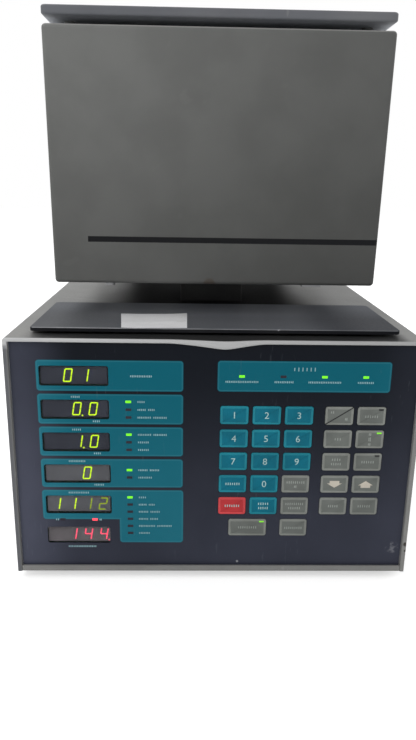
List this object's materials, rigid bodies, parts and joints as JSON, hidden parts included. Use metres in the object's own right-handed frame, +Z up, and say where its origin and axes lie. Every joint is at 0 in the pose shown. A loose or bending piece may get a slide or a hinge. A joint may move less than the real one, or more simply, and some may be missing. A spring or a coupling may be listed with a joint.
{
  "type": "dental porcelain furnace",
  "caption": "Bench-top dental porcelain furnace: keypad console with displays, and a vacuum muffle head that lifts off a firing table",
  "frame": {"origin": "On the bench plane, under the middle of the outline box; the outline runs from the console's front edge to the tip of the vacuum spigot.", "axes": "+Z up, the control panel faces -Y, +X is the viewer's right when facing the panel."},
  "size_m": [0.3204, 0.385, 0.4389],
  "materials": {
    "grey_paint": "satin grey enamel on folded sheet",
    "black_paint": "semi-gloss black enamel",
    "head_paint": "satin mid-grey enamel with a black stripe",
    "zinc_steel": "zinc-plated steel",
    "printed_film": "satin polyester film, dark blue-grey with teal blocks",
    "tinted_acrylic": "smoke-tinted acrylic panes and diffused epoxy lenses",
    "key_film": "embossed keys, teal, grey or red",
    "board_laminate": "green glass-epoxy board with parts",
    "core_steel": "varnished laminations",
    "black_nylon": "moulded, fine grain",
    "nickel_brass": "turned, lightly tarnished",
    "black_rubber": "matte",
    "black_anodised": "black coated plate with rub marks",
    "stainless": "brushed, slight heat tint",
    "silicone": "matte red silicone",
    "refractory": "pressed fibre ceramic, dusty",
    "ground_steel": "ground and polished",
    "cast_aluminium": "milled casting",
    "screw_steel": "plated screws and nuts",
    "fibre_board": "vacuum-formed ceramic fibre",
    "alumina": "sintered, unglazed",
    "element_wire": "oxidised resistance wire"
  },
  "bodies": {
    "console": {"bottom_pan": "grey_paint", "console_case": "grey_paint", "rear_panel": "grey_paint", "front_panel": "zinc_steel", "panel_overlay": "printed_film", "led_displays": "tinted_acrylic", "circuit_boards": "board_laminate", "transformer": "core_steel", "power_entry_module": "black_nylon", "vacuum_port": "nickel_brass", "cooling_fan_frame": "black_nylon", "rubber_feet": "black_rubber", "work_plate": "black_anodised", "pedestal": "black_paint", "firing_platform": "stainless", "seal_ring": "silicone", "firing_table": "refractory", "lift_motor": "zinc_steel", "lift_frame": "cast_aluminium", "console_fasteners": "screw_steel"},
    "head": {"lift_posts": "ground_steel", "lift_carriage": "cast_aluminium", "head_base_plate": "stainless", "head_shell": "head_paint", "head_lid": "head_paint", "vacuum_chamber": "stainless", "muffle_insulation": "fibre_board", "heating_muffle": "alumina", "heating_element": "element_wire", "thermocouple": "alumina"},
    "screw": {"lead_screw": "ground_steel"},
    "fan": {"fan_rotor": "black_nylon"},
    "rocker": {"power_rocker": "black_nylon"},
    "press_key_0": {"key_0": "key_film"},
    "press_key_1": {"key_1": "key_film"},
    "press_key_2": {"key_2": "key_film"},
    "press_key_3": {"key_3": "key_film"},
    "press_key_4": {"key_4": "key_film"},
    "press_key_5": {"key_5": "key_film"},
    "press_key_6": {"key_6": "key_film"},
    "press_key_7": {"key_7": "key_film"},
    "press_key_8": {"key_8": "key_film"},
    "press_key_9": {"key_9": "key_film"},
    "press_key_calibrate": {"key_calibrate": "key_film"},
    "press_key_cancel": {"key_cancel": "key_film"},
    "press_key_down": {"key_down": "key_film"},
    "press_key_enter": {"key_enter": "key_film"},
    "press_key_hold": {"key_hold": "key_film"},
    "press_key_lamp_test": {"key_lamp_test": "key_film"},
    "press_key_mode": {"key_mode": "key_film"},
    "press_key_night": {"key_night": "key_film"},
    "press_key_on_off": {"key_on_off": "key_film"},
    "press_key_override": {"key_override": "key_film"},
    "press_key_program": {"key_program": "key_film"},
    "press_key_program_input": {"key_program_input": "key_film"},
    "press_key_purge": {"key_purge": "key_film"},
    "press_key_start": {"key_start": "key_film"},
    "press_key_time_left": {"key_time_left": "key_film"},
    "press_key_units": {"key_units": "key_film"},
    "press_key_up": {"key_up": "key_film"}
  },
  "joints": [
    {"name": "head_lift", "type": "slide", "parent": "console", "child": "head", "axis": [0, 0, 1], "range_m": [0, 0.1159]},
    {"name": "screw_turn", "type": "hinge", "parent": "console", "child": "screw", "pos_m": [0, 0.1125, 0.1], "axis": [0, 0, 1], "range_deg": [0, 5222]},
    {"name": "fan_spin", "type": "hinge", "parent": "console", "child": "fan", "pos_m": [-0.088, 0.1637, 0.12], "axis": [0, 1, 0], "continuous": true},
    {"name": "rocker_tilt", "type": "hinge", "parent": "console", "child": "rocker", "pos_m": [0.112, 0.1765, 0.0745], "axis": [-1, 0, 0], "range_deg": [0, 20]},
    {"name": "key_0_press", "type": "slide", "parent": "console", "child": "press_key_0", "axis": [0, 1, 0], "range_m": [0, 0.0005], "stiffness_N_per_m": 2000},
    {"name": "key_1_press", "type": "slide", "parent": "console", "child": "press_key_1", "axis": [0, 1, 0], "range_m": [0, 0.0005], "stiffness_N_per_m": 2000},
    {"name": "key_2_press", "type": "slide", "parent": "console", "child": "press_key_2", "axis": [0, 1, 0], "range_m": [0, 0.0005], "stiffness_N_per_m": 2000},
    {"name": "key_3_press", "type": "slide", "parent": "console", "child": "press_key_3", "axis": [0, 1, 0], "range_m": [0, 0.0005], "stiffness_N_per_m": 2000},
    {"name": "key_4_press", "type": "slide", "parent": "console", "child": "press_key_4", "axis": [0, 1, 0], "range_m": [0, 0.0005], "stiffness_N_per_m": 2000},
    {"name": "key_5_press", "type": "slide", "parent": "console", "child": "press_key_5", "axis": [0, 1, 0], "range_m": [0, 0.0005], "stiffness_N_per_m": 2000},
    {"name": "key_6_press", "type": "slide", "parent": "console", "child": "press_key_6", "axis": [0, 1, 0], "range_m": [0, 0.0005], "stiffness_N_per_m": 2000},
    {"name": "key_7_press", "type": "slide", "parent": "console", "child": "press_key_7", "axis": [0, 1, 0], "range_m": [0, 0.0005], "stiffness_N_per_m": 2000},
    {"name": "key_8_press", "type": "slide", "parent": "console", "child": "press_key_8", "axis": [0, 1, 0], "range_m": [0, 0.0005], "stiffness_N_per_m": 2000},
    {"name": "key_9_press", "type": "slide", "parent": "console", "child": "press_key_9", "axis": [0, 1, 0], "range_m": [0, 0.0005], "stiffness_N_per_m": 2000},
    {"name": "key_calibrate_press", "type": "slide", "parent": "console", "child": "press_key_calibrate", "axis": [0, 1, 0], "range_m": [0, 0.0005], "stiffness_N_per_m": 2000},
    {"name": "key_cancel_press", "type": "slide", "parent": "console", "child": "press_key_cancel", "axis": [0, 1, 0], "range_m": [0, 0.0005], "stiffness_N_per_m": 2000},
    {"name": "key_down_press", "type": "slide", "parent": "console", "child": "press_key_down", "axis": [0, 1, 0], "range_m": [0, 0.0005], "stiffness_N_per_m": 2000},
    {"name": "key_enter_press", "type": "slide", "parent": "console", "child": "press_key_enter", "axis": [0, 1, 0], "range_m": [0, 0.0005], "stiffness_N_per_m": 2000},
    {"name": "key_hold_press", "type": "slide", "parent": "console", "child": "press_key_hold", "axis": [0, 1, 0], "range_m": [0, 0.0005], "stiffness_N_per_m": 2000},
    {"name": "key_lamp_test_press", "type": "slide", "parent": "console", "child": "press_key_lamp_test", "axis": [0, 1, 0], "range_m": [0, 0.0005], "stiffness_N_per_m": 2000},
    {"name": "key_mode_press", "type": "slide", "parent": "console", "child": "press_key_mode", "axis": [0, 1, 0], "range_m": [0, 0.0005], "stiffness_N_per_m": 2000},
    {"name": "key_night_press", "type": "slide", "parent": "console", "child": "press_key_night", "axis": [0, 1, 0], "range_m": [0, 0.0005], "stiffness_N_per_m": 2000},
    {"name": "key_on_off_press", "type": "slide", "parent": "console", "child": "press_key_on_off", "axis": [0, 1, 0], "range_m": [0, 0.0005], "stiffness_N_per_m": 2000},
    {"name": "key_override_press", "type": "slide", "parent": "console", "child": "press_key_override", "axis": [0, 1, 0], "range_m": [0, 0.0005], "stiffness_N_per_m": 2000},
    {"name": "key_program_press", "type": "slide", "parent": "console", "child": "press_key_program", "axis": [0, 1, 0], "range_m": [0, 0.0005], "stiffness_N_per_m": 2000},
    {"name": "key_program_input_press", "type": "slide", "parent": "console", "child": "press_key_program_input", "axis": [0, 1, 0], "range_m": [0, 0.0005], "stiffness_N_per_m": 2000},
    {"name": "key_purge_press", "type": "slide", "parent": "console", "child": "press_key_purge", "axis": [0, 1, 0], "range_m": [0, 0.0005], "stiffness_N_per_m": 2000},
    {"name": "key_start_press", "type": "slide", "parent": "console", "child": "press_key_start", "axis": [0, 1, 0], "range_m": [0, 0.0005], "stiffness_N_per_m": 2000},
    {"name": "key_time_left_press", "type": "slide", "parent": "console", "child": "press_key_time_left", "axis": [0, 1, 0], "range_m": [0, 0.0005], "stiffness_N_per_m": 2000},
    {"name": "key_units_press", "type": "slide", "parent": "console", "child": "press_key_units", "axis": [0, 1, 0], "range_m": [0, 0.0005], "stiffness_N_per_m": 2000},
    {"name": "key_up_press", "type": "slide", "parent": "console", "child": "press_key_up", "axis": [0, 1, 0], "range_m": [0, 0.0005], "stiffness_N_per_m": 2000}
  ],
  "couplings": [
    {"joint": "screw_turn", "follows": "head_lift", "rad_per_m": 785.4}
  ]
}
